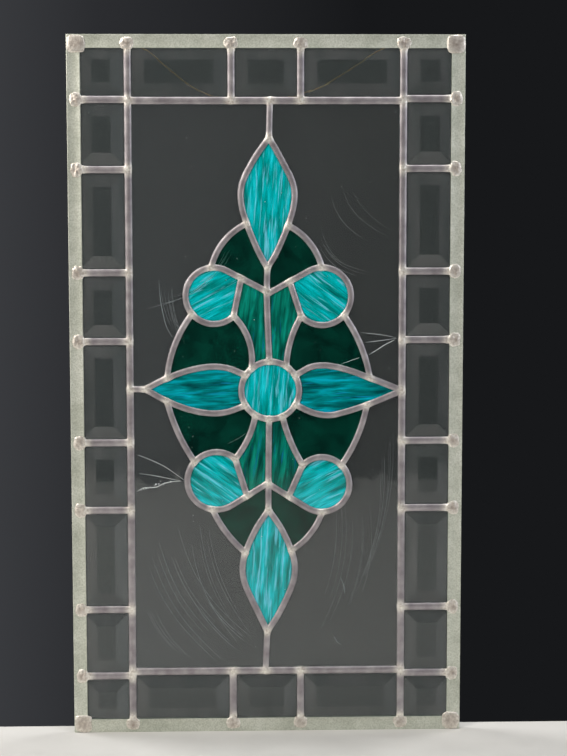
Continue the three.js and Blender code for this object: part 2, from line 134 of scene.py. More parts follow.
def ramp(tree, factor, stops):
    """A colour ramp from a list of (position, hex colour)."""
    node = add_node(tree, "ShaderNodeValToRGB", None, Fac=factor)
    steps = node.color_ramp.elements
    while len(steps) < len(stops):
        steps.new(0.5)
    for step, (position, colour) in zip(steps, stops):
        step.position = position
        step.color = linear(colour)
    return node.outputs["Color"]


def mix(tree, factor, a, b, kind="MIX"):
    """Two colours mixed. Each of the three is a socket, a number or a hex colour."""
    node = add_node(tree, "ShaderNodeMix", {"data_type": "RGBA", "blend_type": kind})
    for index, value in ((0, factor), (6, a), (7, b)):
        if isinstance(value, bpy.types.NodeSocket):
            tree.links.new(value, node.inputs[index])
        else:
            node.inputs[index].default_value = linear(value) if isinstance(value, str) else value
    return node.outputs[2]


def grain(tree, points, scale, detail=3, distortion=0, roughness=0.5):
    settings = {"Scale": scale, "Detail": detail, "Distortion": distortion, "Roughness": roughness}
    return add_node(tree, "ShaderNodeTexNoise", settings, Vector=points).outputs["Fac"]


def relief(tree, shader, height, depth, strength=1.0):
    """Bumps of that depth in metres on a shader."""
    node = add_node(tree, "ShaderNodeBump", {"Distance": depth, "Strength": strength}, Height=height)
    tree.links.new(node.outputs["Normal"], shader.inputs["Normal"])


# The room falls off from grey on the left to near black on the right.
room = world.node_tree
direction = add_node(room, "ShaderNodeTexCoord").outputs["Generated"]
across_room = add_node(room, "ShaderNodeSeparateXYZ", None, Vector=direction).outputs["X"]
shade = add_node(room, "ShaderNodeMapRange", {"From Min": -0.3, "From Max": 0.3}, Value=across_room)
dusk = ramp(room, shade.outputs["Result"], [(0.0, "#5a5c60"), (0.4, "#2c2d30"), (0.62, "#17181a")])
room.links.new(dusk, room.nodes["Background"].inputs["Color"])

clear_selection()
bpy.ops.mesh.primitive_plane_add(size=1)
floor = bpy.context.object
floor.name = "studio_floor"
floor_front, floor_back = -1.2, 0.012
for corner in floor.data.vertices:
    corner.co.x *= 2.4
    corner.co.y = floor_front if corner.co.y < 0 else floor_back
    corner.co.z = bottom_edge
floor_paint, tree, shader = new_material("matt_floor_paint", Roughness=0.8)
patches = grain(tree, object_points(tree), 0.02)
tree.links.new(ramp(tree, patches, [(0.3, "#c9c7c2"), (0.7, "#d2d0cb")]), shader.inputs["Base Color"])
floor.data.materials.append(floor_paint)


# ------------------------------------------------------------------ ornament lead
# Flat-backed lead came, an H in section, bent to the drawing and soldered into one net. The
# knife leaves its ends butted on the next came, and each joint is flooded with solder, front
# and back, so that it swells there. Sizes in millimetres from the middle of the panel.
flange_half, flange_edge, crown, heart_half = 2.4, 1.95, 3.0, 0.8
glass_face = 1.5
tuck = 0.5
disc_centre, disc_radius = (2.5, -1.0), 22.1
sides = {"left": -1, "right": 1}
halves = {"top": 1, "bottom": -1}
uprights = {"left": -104.5, "right": 103.5}
rails = {"top": 218.7, "bottom": -220.4}

almonds = {
    "top": dict(head=(1.8, 191), foot=(0.5, 92.5), belly=147, half=20, axis=0.7),
    "bottom": dict(head=(1, -93.5), foot=(0, -189), belly=-140, half=19.8, axis=1.1),
}
leaves = {
    "left": dict(
        tip=(-93, 0.3),
        top=[(-76.2, 8.8), (-59, 14.8), (-43, 17.4), (-30, 16.2)],
        bottom=[(-76.4, -9), (-58, -16), (-42, -18.6), (-30, -17.4)],
        roots={"top": 32, "bottom": 31},
    ),
    "right": dict(
        tip=(103.5, -1.6),
        top=[(78.8, 8.2), (62, 14.4), (46, 17.9), (34, 17)],
        bottom=[(76.5, -12.6), (60, -17.9), (48, -20.4), (36, -18.7)],
        roots={"top": 31, "bottom": 30},
    ),
}
# For each quarter: its rosette, the point where the rosette's came leaves the middle one, how
# far out its closing side starts, and the bearings and rises of rib, arch and shoulder.
quarters = {
    "top_left": dict(
        rosette=(-40.4, 71.6), radius=21.5, navel=(-0.5, 75), cusp=19.5,
        rib=(46, 49, 5.2), arch=(40, (-76.2, 9), 3.8), shoulder=((-18.6, 126), 85, 4.9),
    ),
    "top_right": dict(
        rosette=(42.2, 70.9), radius=22, navel=(0.6, 73), cusp=17.5,
        rib=(43, 56, 2.5), arch=(41, (78.8, 9), 3), shoulder=((18.6, 124.3), 91, 4.6),
    ),
    "bottom_left": dict(
        rosette=(-38.9, -70.9), radius=22.4, navel=(1, -72.5), cusp=17.5,
        rib=(50, 59, 2.4), arch=(42, (-76.4, -9.5), 2.3), shoulder=((-17.6, -126), 82, 2.4),
    ),
    "bottom_right": dict(
        rosette=(42, -74.2), radius=21.3, navel=(1, -73.5), cusp=16.5,
        rib=(46.5, 65, 1.6), arch=(45, (76.5, -13), 2.8), shoulder=((19, -126), 89, 3.4),
    ),
}
line_step = 1.5


def straight(a, b, extra=0.0):
    """Points along a line, run on a little past both ends."""
    a, b = Vector(a), Vector(b)
    along = (b - a).normalized() * extra
    a, b = a - along, b + along
    count = max(2, round((b - a).length / line_step))
    return [a.lerp(b, i / count) for i in range(count + 1)]


def arc(centre, radius, start, end):
    count = max(4, round(abs(end - start) * radius / line_step))
    angles = [start + (end - start) * i / count for i in range(count + 1)]
    return [Vector(centre) + Vector((math.cos(a), math.sin(a))) * radius for a in angles]


def bow(a, b, rise):
    """An arc from a to b with a rise to the left of the way, run on a little at both ends."""
    a, b = Vector(a), Vector(b)
    chord = (b - a).length
    radius = chord * chord / (8 * abs(rise)) + abs(rise) / 2
    sign = 1 if rise > 0 else -1
    across = Vector((b.y - a.y, a.x - b.x)) / chord
    centre = (a + b) / 2 + across * (radius - abs(rise)) * sign
    start = math.atan2(a.y - centre.y, a.x - centre.x)
    turn = 2 * math.asin(chord / 2 / radius)
    extra = tuck / radius
    return arc(centre, radius, start + extra * sign, start - (turn + extra) * sign)


def flowing(points):
    """A smooth line through points: a centripetal Catmull-Rom curve."""
    points = [Vector(p) for p in points]
    points = [2 * points[0] - points[1]] + points + [2 * points[-1] - points[-2]]
    line = []
    for p0, p1, p2, p3 in zip(points, points[1:], points[2:], points[3:]):
        t0 = 0.0
        t1 = t0 + (p1 - p0).length ** 0.5
        t2 = t1 + (p2 - p1).length ** 0.5
        t3 = t2 + (p3 - p2).length ** 0.5
        count = max(2, round((p2 - p1).length / line_step))
        for i in range(count):
            t = t1 + (t2 - t1) * i / count
            a1 = p0.lerp(p1, (t - t0) / (t1 - t0))
            a2 = p1.lerp(p2, (t - t1) / (t2 - t1))
            a3 = p2.lerp(p3, (t - t2) / (t3 - t2))
            b1 = a1.lerp(a2, (t - t0) / (t2 - t0))
            b2 = a2.lerp(a3, (t - t1) / (t3 - t1))
            line.append(b1.lerp(b2, (t - t1) / (t2 - t1)))
    return line + [points[-2]]


def on_circle(centre, radius, side, up, angle):
    """A point of a circle, its angle counted from level, outwards and away from the middle."""
    spoke = Vector((side * math.cos(angle), up * math.sin(angle)))
    return Vector(centre) + spoke * radius


def nearest(line, point):
    return min(line, key=lambda p: (p - Vector(point)).length)


ornament_lines = [arc(disc_centre, disc_radius, 0, 2 * math.pi)]
almond_sides, leaf_sides = {}, {}
for end, a in almonds.items():
    length = a["head"][1] - a["foot"][1]
    for hand, side in sides.items():
        bulge = side * a["half"]
        almond_sides[f"{end}_{hand}"] = flowing([
            a["head"],
            (a["axis"] + bulge * 0.53, a["head"][1] - length * 0.17),
            (a["axis"] + bulge * 0.98, a["belly"] + length * 0.08),
            (a["axis"] + bulge * 0.98, a["belly"] - length * 0.08),
            (a["axis"] + bulge * 0.38, a["foot"][1] + length * 0.14),
            a["foot"],
        ])
for hand, leaf in leaves.items():
    for end, up in halves.items():
        root = on_circle(disc_centre, disc_radius, sides[hand], up, math.radians(leaf["roots"][end]))
        leaf_sides[f"{end}_{hand}"] = flowing([leaf["tip"], *leaf[end], root])
ornament_lines += [*almond_sides.values(), *leaf_sides.values()]
ornament_lines.append(straight((uprights["left"], 0.3), (-91.5, 0.3)))

for name, q in quarters.items():
    end, hand = name.split("_")
    side, up = sides[hand], halves[end]

    def on_rosette(angle):
        return on_circle(q["rosette"], q["radius"], side, up, angle)

    navel = Vector(q["navel"])
    inwards = Vector(((navel.x - q["rosette"][0]) * side, (navel.y - q["rosette"][1]) * up))
    touch = math.atan2(inwards.y, inwards.x) - math.acos(q["radius"] / inwards.length)
    touch += 2 * math.pi if touch < 0 else 0
    rib_head_angle, rib_foot_angle, rib_rise = q["rib"]
    rib_angle = math.radians(rib_head_angle) - math.pi
    base = 0 if side > 0 else math.pi
    start, stop = (base + angle * side * up for angle in (touch, rib_angle))
    round_part = arc(q["rosette"], q["radius"], start, stop)
    ornament_lines.append(straight(navel, round_part[0])[:-1] + round_part)

    share = (q["cusp"] - abs(navel.x)) / abs(round_part[0].x - navel.x)
    cusp = navel.lerp(round_part[0], share)
    rib_head = on_rosette(rib_angle)
    ornament_lines.append(straight(cusp, rib_head, tuck))
    turn = side * up
    rib_foot = on_circle(disc_centre, disc_radius, side, up, math.radians(rib_foot_angle))
    ornament_lines.append(bow(rib_head, rib_foot, -rib_rise * turn))
    arch_angle, arch_foot, arch_rise = q["arch"]
    arch_head = on_rosette(-math.radians(arch_angle))
    ornament_lines.append(bow(arch_head, nearest(leaf_sides[name], arch_foot), arch_rise * turn))
    shoulder_head, shoulder_angle, shoulder_rise = q["shoulder"]
    shoulder_foot = on_rosette(math.radians(shoulder_angle))
    on_almond = nearest(almond_sides[name], shoulder_head)
    ornament_lines.append(bow(on_almond, shoulder_foot, shoulder_rise * turn))

past = 1.5
top_almond, bottom_almond = almonds["top"], almonds["bottom"]
ornament_lines += [
    straight((2.5, rails["top"]), (top_almond["head"][0], top_almond["head"][1] - past)),
    straight((-1.5, rails["bottom"]), (bottom_almond["foot"][0], bottom_almond["foot"][1] + past)),
    flowing([(top_almond["foot"][0], top_almond["foot"][1] + past), (0, 74),
             (1.8, disc_centre[1] + disc_radius)]),
    flowing([(1.5, disc_centre[1] - disc_radius), (1, -73),
             (bottom_almond["head"][0], bottom_almond["head"][1] - past)]),
]


def joints_of(lines):
    """Where cames meet: every end of a line, counted once."""
    found = []
    for line in lines:
        for point in (line[0], line[-1]):
            if all((point - other).length > 2.5 for other in found):
                found.append(point)
    return found


def outline_curve(name, outline):
    """A closed flat outline, for a came or a bar to be swept with."""
    data = bpy.data.curves.new(name, "CURVE")
    data.dimensions = "2D"
    spline = data.splines.new("POLY")
    spline.points.add(len(outline) - 1)
    for point, (x, y) in zip(spline.points, outline):
        point.co = (x, y, 0, 1)
    spline.use_cyclic_u = True
    section = bpy.data.objects.new(name, data)
    bpy.context.scene.collection.objects.link(section)
    return section


def came_section(name, half, edge, top):
    """Domed flange in front and behind, thin at its edges, and the heart between them."""
    arch = [(half * math.cos(a), edge + (top - edge) * math.sin(a) ** 0.8)
            for a in [math.radians(d) for d in (0, 14, 32, 55, 90)]]
    quarter = [(heart_half, glass_face), (half - 0.12, glass_face)] + arch
    front = quarter + [(-x, y) for x, y in reversed(quarter[:-1])]
    return outline_curve(name, front + [(-x, -y) for x, y in front])


def swelling(point, joints, reach=4.6):
    """How much solder there is at a point, from 0 to 1."""
    near = min((point - joint).length for joint in joints)
    share = max(0.0, 1 - near / reach)
    return share * share * (3 - 2 * share)


def bent_came(line, section, joints, swell, closed=False):
    """One came swept along its line, thicker where it is soldered, as a mesh lying flat."""
    clear_selection()
    bpy.ops.curve.primitive_nurbs_path_add()
    came = bpy.context.object
    data = came.data
    data.dimensions = "2D"
    data.splines.clear()
    spline = data.splines.new("POLY")
    spline.points.add(len(line) - 1 - (1 if closed else 0))
    for point, place in zip(spline.points, line):
        solder = swelling(place, joints)
        wave = noise.noise(Vector((place.x, place.y, 0)) * 0.09) * 0.018
        lump = noise.noise(Vector((place.x, place.y, 7)) * 0.55) * 0.09 * solder
        point.co = (place.x, place.y, 0, 1)
        point.radius = 1 + wave + swell * solder + lump
    spline.use_cyclic_u = closed
    data.bevel_mode = "OBJECT"
    data.bevel_object = section
    data.use_fill_caps = True
    bpy.ops.object.convert(target="MESH")
    came = bpy.context.object
    bpy.ops.object.mode_set(mode="EDIT")
    bpy.ops.mesh.select_all(action="SELECT")
    bpy.ops.mesh.remove_doubles(threshold=1e-4)
    bpy.ops.mesh.normals_make_consistent(inside=False)
    bpy.ops.object.mode_set(mode="OBJECT")
    return came


def united(pieces, name):
    """Closed meshes joined into one solid by a union."""
    whole = pieces[0]
    for piece in pieces[1:]:
        clear_selection()
        whole.select_set(True)
        bpy.context.view_layer.objects.active = whole
        cut = whole.modifiers.new("union", "BOOLEAN")
        cut.operation = "UNION"
        cut.solver = "MANIFOLD"
        cut.object = piece
        bpy.ops.object.modifier_apply(modifier=cut.name)
        bpy.data.objects.remove(piece)
    whole.name = name
    return whole


def stand_up(piece):
    """Turns a mesh drawn lying, in millimetres, upright into the panel, in metres."""
    clear_selection()
    piece.select_set(True)
    bpy.context.view_layer.objects.active = piece
    piece.rotation_euler = (math.radians(90), 0, 0)
    piece.location = middle
    piece.scale = (MM, MM, MM)
    bpy.ops.object.transform_apply(location=True, rotation=True, scale=True)


ornament_joints = joints_of(ornament_lines[1:])
ornament_section = came_section("ornament_section", flange_half, flange_edge, crown)
ornament_cames = [bent_came(ornament_lines[0], ornament_section, ornament_joints, 0.1, closed=True)]
ornament_cames += [bent_came(line, ornament_section, ornament_joints, 0.1) for line in ornament_lines[1:]]
ornament_lead = united(ornament_cames, "ornament_lead")
bpy.data.objects.remove(ornament_section)


def mark(piece, name, places, reach):
    """Stores how near each point is to the places, from 0 to 1, for the material to read."""
    layer = piece.data.attributes.new(name, "FLOAT", "POINT")
    for vertex, value in zip(piece.data.vertices, layer.data):
        value.value = swelling(vertex.co.xy, places, reach)


def lumpy(piece, amount, size):
    """Moves points in and out a little where there is solder, as it sets."""
    shares = [value.value for value in piece.data.attributes["solder"].data]
    normals = [vertex.normal.copy() for vertex in piece.data.vertices]
    for vertex, share, normal in zip(piece.data.vertices, shares, normals):
        if share > 0:
            vertex.co += normal * noise.noise(vertex.co / size) * amount * share


def smoothed(piece, angle=38):
    clear_selection()
    piece.select_set(True)
    bpy.context.view_layer.objects.active = piece
    bpy.ops.object.shade_smooth_by_angle(angle=math.radians(angle))


def finish_piece(piece, material, slot, *replaced):
    piece.data.materials.clear()
    piece.data.materials.append(material)
    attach(piece, "root")
    if replaced:
        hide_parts(*replaced)


# Lead that has been handled: a dull grey skin, a little purple, and tin-lead solder on the joints,
# paler and rougher, stained brown by flux where it is thick. Soft metals with a broad sheen.
lead_paint, tree, shader = new_material("lead_came_with_solder", Metallic=0.75, Roughness=0.42)
points = object_points(tree)
solder_share = add_node(tree, "ShaderNodeAttribute", {"attribute_name": "solder"}).outputs["Fac"]
skin = ramp(tree, grain(tree, points, 0.12, 4), [(0.3, "#8f898c"), (0.55, "#a8a2a5"), (0.75, "#bfbaba")])
tin = ramp(tree, grain(tree, points, 0.6, 4), [(0.3, "#c9beb2"), (0.48, "#ece7dc"), (0.65, "#fffbf2")])
flux = ramp(tree, grain(tree, points, 0.4, 5), [(0.3, "#a0948a"), (0.5, "#bbb0a5"), (0.72, "#ded7cd")])
stain_share = add_node(tree, "ShaderNodeAttribute", {"attribute_name": "stain"}).outputs["Fac"]
soldered = mix(tree, solder_share, skin, tin)
tree.links.new(mix(tree, stain_share, soldered, flux), shader.inputs["Base Color"])
relief(tree, shader, grain(tree, points, 1.4, 4), 0.00025, 0.35)

mark(ornament_lead, "solder", ornament_joints, 6.5)
lumpy(ornament_lead, 0.5, 1.5)
stand_up(ornament_lead)
smoothed(ornament_lead)
finish_piece(ornament_lead, lead_paint, "lead", "came_ornament")


# -------------------------------------------------------------------- border lead
# Wider round-backed came parts the bevelled plates. It stops at the zinc, and solder laps from
# each end over the zinc's face and holds the net in the frame.
border_half = 2.8
inch, heart = 25.4, 1.6
short_pitch, long_pitch = 2 * inch + heart, 3 * inch + heart
frame_face = 10.35
opening_x = half_width / MM - frame_face
opening_y = (top_edge - bottom_edge) / 2 / MM - frame_face
column_drop = {"left": 2.0, "right": 1.4}
row_shift = -0.5
row_bars = [row_shift - short_pitch / 2, row_shift + short_pitch / 2]
column_bars = [long_pitch / 2, long_pitch / 2 + short_pitch, long_pitch * 1.5 + short_pitch,
               long_pitch * 1.5 + short_pitch * 2]
column_bars = sorted(column_bars + [-y for y in column_bars], reverse=True)

border_lines = [straight((uprights["left"], y), (uprights["right"], y)) for y in rails.values()]
zinc_ends = []
for hand, side in sides.items():
    x = uprights[hand]
    border_lines.append(straight((x, -opening_y), (x, opening_y)))
    zinc_ends += [(x, opening_y), (x, -opening_y)]
    for y in column_bars:
        level = y - column_drop[hand]
        border_lines.append(straight((x, level), (side * opening_x, level)))
        zinc_ends.append((side * opening_x, level))
for x in row_bars:
    for end, up in halves.items():
        border_lines.append(straight((x, rails[end]), (x, up * opening_y)))
        zinc_ends.append((x, up * opening_y))
crossings = [Vector((uprights[hand], rails[end])) for hand in sides for end in halves]
stem_feet = [Vector((2.5, rails["top"])), Vector((-1.5, rails["bottom"])),
             Vector((uprights["left"], 0.3)), Vector((uprights["right"], -1.6))]
border_joints = joints_of(border_lines) + crossings + stem_feet
border_section = came_section("border_section", border_half, flange_edge, crown)
border_cames = [bent_came(line, border_section, border_joints, 0.08) for line in border_lines]


def solder_lump(place, radii, height, base, corner, seed):
    """A low lump of solder that faces up, with an uneven outline. corner squares it off."""
    clear_selection()
    bpy.ops.mesh.primitive_uv_sphere_add(segments=28, ring_count=14, radius=1)
    lump = bpy.context.object
    shift = Vector((seed * 7.3, seed * 3.1, 0))
    for vertex in lump.data.vertices:
        p = vertex.co.copy()
        edge = 1 + 0.16 * noise.noise(p * 1.6 + shift)
        for axis in (0, 1):
            p[axis] = math.copysign(abs(p[axis]) ** corner, p[axis]) * radii[axis] * edge
        p.z = math.copysign(abs(p.z) ** 0.8, p.z) * height * (1 + 0.3 * noise.noise(p * 0.4 + shift))
        vertex.co = p + Vector((*place, base))
    bpy.ops.object.mode_set(mode="EDIT")
    bpy.ops.mesh.select_all(action="SELECT")
    bpy.ops.mesh.bisect(plane_co=(0, 0, base - 0.2), plane_no=(0, 0, 1), use_fill=True, clear_inner=True)
    bpy.ops.object.mode_set(mode="OBJECT")
    return lump


zinc_front = 3.0
lap_in = frame_face * 0.36
lumps, lump_centres = [], []
for number, (x, y) in enumerate(zinc_ends):
    beside = abs(x) > abs(uprights["left"]) + 5
    shift = Vector((math.copysign(lap_in, x), 0)) if beside else Vector((0, math.copysign(lap_in, y)))
    radii = (4.6, 5.4) if beside else (5.4, 4.6)
    lump_centres.append(Vector((x, y)) + shift * 1.1)
    lumps.append(solder_lump(Vector((x, y)) + shift, radii, 0.7, zinc_front - 0.1, 0.8, number))
border_lead = united(border_cames + lumps, "border_lead")
bpy.data.objects.remove(border_section)
mark(border_lead, "solder", border_joints, 8)
mark(border_lead, "stain", lump_centres, 6.2)
for vertex, value in zip(border_lead.data.vertices, border_lead.data.attributes["solder"].data):
    if abs(vertex.co.x) > opening_x - 1.5 or abs(vertex.co.y) > opening_y - 1.5:
        value.value = 1
lumpy(border_lead, 0.5, 1.5)
stand_up(border_lead)
smoothed(border_lead)
finish_piece(border_lead, lead_paint, "lead", "came_border")


# ---------------------------------------------------------------------- zinc frame
# Four lengths of drawn zinc, an H in section with a fine bead along each lip, cut to a mitre
# and soldered over the corners in front. Bare zinc dulls to a pale greenish grey.
bead = [(0, 2.86), (3.9, 2.86), (4.3, 2.96), (4.75, 3.0), (5.05, 2.9), (5.175, 2.62), (5.1, 2.3),
        (4.8, 2.1), (0.8, 2.1)]
zinc_outline = [(x, y) for x, y in reversed(bead)] + [(-x, y) for x, y in bead[1:]]
zinc_outline += [(-x, -y) for x, y in zinc_outline]
zinc_section = outline_curve("zinc_section", zinc_outline)

zinc_paint, tree, shader = new_material("drawn_zinc_with_patina", Metallic=0.6, Roughness=0.45)
points = object_points(tree)
cloud = grain(tree, points, 0.06, 6, 0.4)
cloud = ramp(tree, cloud, [(0.3, "#c3c7b9"), (0.55, "#d6d9cc"), (0.8, "#e6e8dd")])
speck = ramp(tree, grain(tree, points, 0.9, 4), [(0.35, "#b9bcb0"), (0.6, "#ffffff")])
tree.links.new(mix(tree, 0.45, cloud, speck, "MULTIPLY"), shader.inputs["Base Color"])
relief(tree, shader, grain(tree, points, 0.8, 4), 0.0001, 0.3)

out_x = half_width / MM
out_y = (top_edge - bottom_edge) / 2 / MM
mid_x, mid_y = out_x - frame_face / 2, out_y - frame_face / 2
no_joints = [Vector((1000, 1000))]
bars = {
    "top": ((-out_x, mid_y), (out_x, mid_y)),
    "bottom": ((-out_x, -mid_y), (out_x, -mid_y)),
    "left": ((-mid_x, -out_y), (-mid_x, out_y)),
    "right": ((mid_x, -out_y), (mid_x, out_y)),
}
for name, (a, b) in bars.items():
    bar = bent_came(straight(a, b), zinc_section, no_joints, 0)
    for vertex in bar.data.vertices:
        for axis in (0, 1):
            limit = (out_x, out_y)[axis]
            vertex.co[axis] = max(-limit, min(limit, vertex.co[axis]))
    for corner_x in (-1, 1):
        for corner_y in (-1, 1):
            corner = Vector((corner_x * out_x, corner_y * out_y, 0))
            if (corner.xy - Vector(a)).length > 20 and (corner.xy - Vector(b)).length > 20:
                continue
            across = Vector((corner_x, -corner_y, 0))
            if name in ("top", "bottom"):
                across = -across
            bpy.ops.object.mode_set(mode="EDIT")
            bpy.ops.mesh.select_all(action="SELECT")
            bpy.ops.mesh.bisect(plane_co=corner, plane_no=-across, use_fill=True, clear_outer=True)
            bpy.ops.object.mode_set(mode="OBJECT")
    bar.name = f"zinc_bar_{name}"
    stand_up(bar)
    smoothed(bar)
    finish_piece(bar, zinc_paint, "frame", f"frame_bar_{name}")
bpy.data.objects.remove(zinc_section)

# Solder run over the mitres in a square patch, stained brown by flux and bright at its rim.
half = 7.1
all_over = 1000
for number, (x, y) in enumerate([(-1, 1), (1, 1), (-1, -1), (1, -1)]):
    place = (x * (out_x - half), y * (out_y - half))
    patch = solder_lump(place, (half * 0.94, half * 0.94), 0.8, zinc_front, 0.55, number + 31)
    patch.name = f"corner_solder_{'top' if y > 0 else 'bottom'}_{'left' if x < 0 else 'right'}"
    mark(patch, "solder", [Vector(place)], all_over)
    mark(patch, "stain", [Vector(place)], 11)
    stand_up(patch)
    smoothed(patch)
    finish_piece(patch, lead_paint, "frame")



# ---------------------------------------------------------------------- clear glass
# The field is hand-rolled clear sheet with a faint grey veil and slow waves. The border plates are
# thicker, ground to a bevel on four sides and polished; the bevels keep faint wheel marks and are painted
# paler than the flats, a painted sheen.
def glass_material(name, tint, roughness, transmission):
    return new_material(name, Roughness=roughness, IOR=1.5, Transmission_Weight=transmission,
                        Base_Color=linear(tint))


sheet_glass, tree, shader = glass_material("clear_rolled_glass", "#e3ebe8", 0.02, 0.97)
relief(tree, shader, grain(tree, object_points(tree, (1, 1, 0.3)), 0.03, 2, 0.8), 0.004, 0.12)

plate_glass, tree, shader = glass_material("bevelled_plate_glass", "#dfe9e5", 0.03, 0.9)
wheel_marks = grain(tree, object_points(tree, (1, 1, 0.05)), 0.9, 3)
relief(tree, shader, wheel_marks, 0.00006, 0.35)
facing = add_node(tree, "ShaderNodeTexCoord").outputs["Normal"]
facing = add_node(tree, "ShaderNodeSeparateXYZ", None, Vector=facing).outputs["Y"]
facing = add_node(tree, "ShaderNodeMath", {"operation": "ABSOLUTE"}, _0=facing).outputs[0]
polish = {"From Min": 0.97, "From Max": 0.99, "To Min": 0.1, "To Max": 0.03}
polish = add_node(tree, "ShaderNodeMapRange", polish, Value=facing).outputs["Result"]
tree.links.new(polish, shader.inputs["Roughness"])
# The facets are painted paler than the flats: a painted sheen on the facets with faint polishing streaks,
# and painted shade on the flats.
ground = add_node(tree, "ShaderNodeMapRange", {"From Min": 0.97, "From Max": 0.99}, Value=facing)
polish_streaks_and_painted_sheen = grain(tree, object_points(tree, (1, 1, 0.15)), 0.12, 3)
polish_streaks_and_painted_sheen = ramp(tree, polish_streaks_and_painted_sheen, [(0.3, "#c3cdcb"), (0.7, "#ffffff")])
body = mix(tree, ground.outputs["Result"], polish_streaks_and_painted_sheen, "#97a19f")
tree.links.new(body, shader.inputs["Base Color"])


def glaze(material, slot, *starts):
    """Gives every pane whose name starts so its glass."""
    for name, pane in nodes.items():
        if name.startswith(starts):
            pane.data.materials.clear()
            pane.data.materials.append(material)


glaze(sheet_glass, "clear_glass", "field_pane")
glaze(plate_glass, "clear_glass", "bevel")


# -------------------------------------------------------------------- coloured glass
# Opal glass with colours stirred in and drawn out before rolling, so its streaks all lie one way.
# Each pane was cut with the streaks turned as the maker liked. Dark green is a plain cathedral.
def streak_points(tree, slant, length, width, place):
    """Object coordinates drawn out along a slant, in units of length and width in millimetres."""
    spot = add_node(tree, "ShaderNodeTexCoord")
    settings = {
        "vector_type": "TEXTURE", "Rotation": (0, math.radians(-slant), 0),
        "Scale": (length * MM, 1, width * MM), "Location": place,
    }
    return add_node(tree, "ShaderNodeMapping", settings, Vector=spot.outputs["Object"]).outputs[0]


def streaky_glass(name, slant, body, vein="#7fe4ff", depth="#055a63", seed=0, veins=0.53):
    """Streaks of a vein colour and a depth colour through a body of four shades."""
    material, tree, shader = new_material(name, Roughness=0.08, IOR=1.5, Transmission_Weight=0.12)
    place = (0.013 * seed, 0, 0.007 * seed)
    broad = grain(tree, streak_points(tree, slant, 34, 5.0, place), 1, 3, 0.5)
    colour = ramp(tree, broad, list(zip((0.32, 0.46, 0.56, 0.68), body)))
    dark = grain(tree, streak_points(tree, slant, 22, 2.6, (0.1, 0, 0.2 + place[0])), 1, 2, 0.4)
    dark_share = ramp(tree, dark, [(0.56, "#000000"), (0.7, "#b8b8b8")])
    colour = mix(tree, dark_share, colour, depth)
    light = grain(tree, streak_points(tree, slant, 30, 2.2, (0.3, 0, 0.1 + place[0])), 1, 3, 0.6)
    light_share = ramp(tree, light, [(veins, "#000000"), (veins + 0.12, "#d8d8d8")])
    colour = mix(tree, light_share, colour, vein)
    fibre = grain(tree, streak_points(tree, slant, 11, 0.8, place), 1, 3)
    fibres = ramp(tree, fibre, [(0.35, "#b4b4b4"), (0.62, "#ffffff")])
    tree.links.new(mix(tree, 0.5, colour, fibres, "MULTIPLY"), shader.inputs["Base Color"])
    relief(tree, shader, broad, 0.0004, 0.15)
    return material


turquoise = ("#00807a", "#00a9a6", "#00c4c9", "#20dbe8")
leaf_body = ("#005457", "#007f80", "#00a1a8", "#08bcd6")
teal = ("#03443a", "#046355", "#088570", "#0da08c")
upright_opal = streaky_glass("streaky_opal_upright", 86, turquoise, seed=1)
rising_opal = streaky_glass("streaky_opal_rising", 27, turquoise, seed=2, veins=0.57)
falling_opal = streaky_glass("streaky_opal_falling", -36, turquoise, seed=5, veins=0.55)
level_opal = streaky_glass("streaky_opal_level", 2, leaf_body, vein="#1aa3d8", seed=3, veins=0.6)
teal_glass = streaky_glass("streaky_teal", 84, teal, "#0f6fa3", "#012c2c", seed=4, veins=0.6)
glaze(upright_opal, "streaky_glass", "almond", "disc")
glaze(rising_opal, "streaky_glass", "rosette_top_left", "rosette_bottom_right")
glaze(falling_opal, "streaky_glass", "rosette_top_right", "rosette_bottom_left")
glaze(level_opal, "streaky_glass", "leaf")
glaze(teal_glass, "teal_glass", "rib_pane")

green_glass, tree, shader = glass_material("dark_green_cathedral_glass", "#0c6b58", 0.04, 0.8)
cloud = grain(tree, object_points(tree), 0.05, 4, 0.8)
tree.links.new(ramp(tree, cloud, [(0.3, "#06463b"), (0.7, "#0f7a64")]), shader.inputs["Base Color"])
glaze(green_glass, "green_glass", "arch_pane", "shoulder_pane")


# ---------------------------------------------------------- marks in the clear glass
# Rolled sheet keeps fine curved cords of unmelted glass. Two cracks fan out from the lead, one at
# the upper right and one, chipped, at the lower left. All are hair lines in the front surface.
front_face = glass_face


def hair_lines(name, routes, material, wall=0.0):
    """Thin lines on the front of the glass, tapered at both ends. A crack goes wall deep."""
    data = bpy.data.curves.new(name, "CURVE")
    data.dimensions = "3D"
    data.bevel_depth = 1
    data.bevel_resolution = 0
    for route, thickness in routes:
        line = flowing(route)
        spline = data.splines.new("POLY")
        spline.points.add(len(line) - 1)
        for i, (point, place) in enumerate(zip(spline.points, line)):
            share = math.sin(math.pi * min(1, (i + 0.6) / len(line))) ** 0.6
            wave = 0.75 + 0.5 * noise.noise(Vector((place.x, place.y, 3)) * 0.35)
            point.co = (place.x, place.y, front_face, 1)
            point.radius = thickness / 2 * share * wave
    lines = bpy.data.objects.new(name, data)
    bpy.context.scene.collection.objects.link(lines)
    clear_selection()
    lines.select_set(True)
    bpy.context.view_layer.objects.active = lines
    bpy.ops.object.convert(target="MESH")
    lines = bpy.context.object
    if wall:
        for vertex in lines.data.vertices:
            if vertex.co.z < front_face - 1e-4:
                vertex.co.z -= wall
    stand_up(lines)
    finish_piece(lines, material, "clear_glass")
    return lines


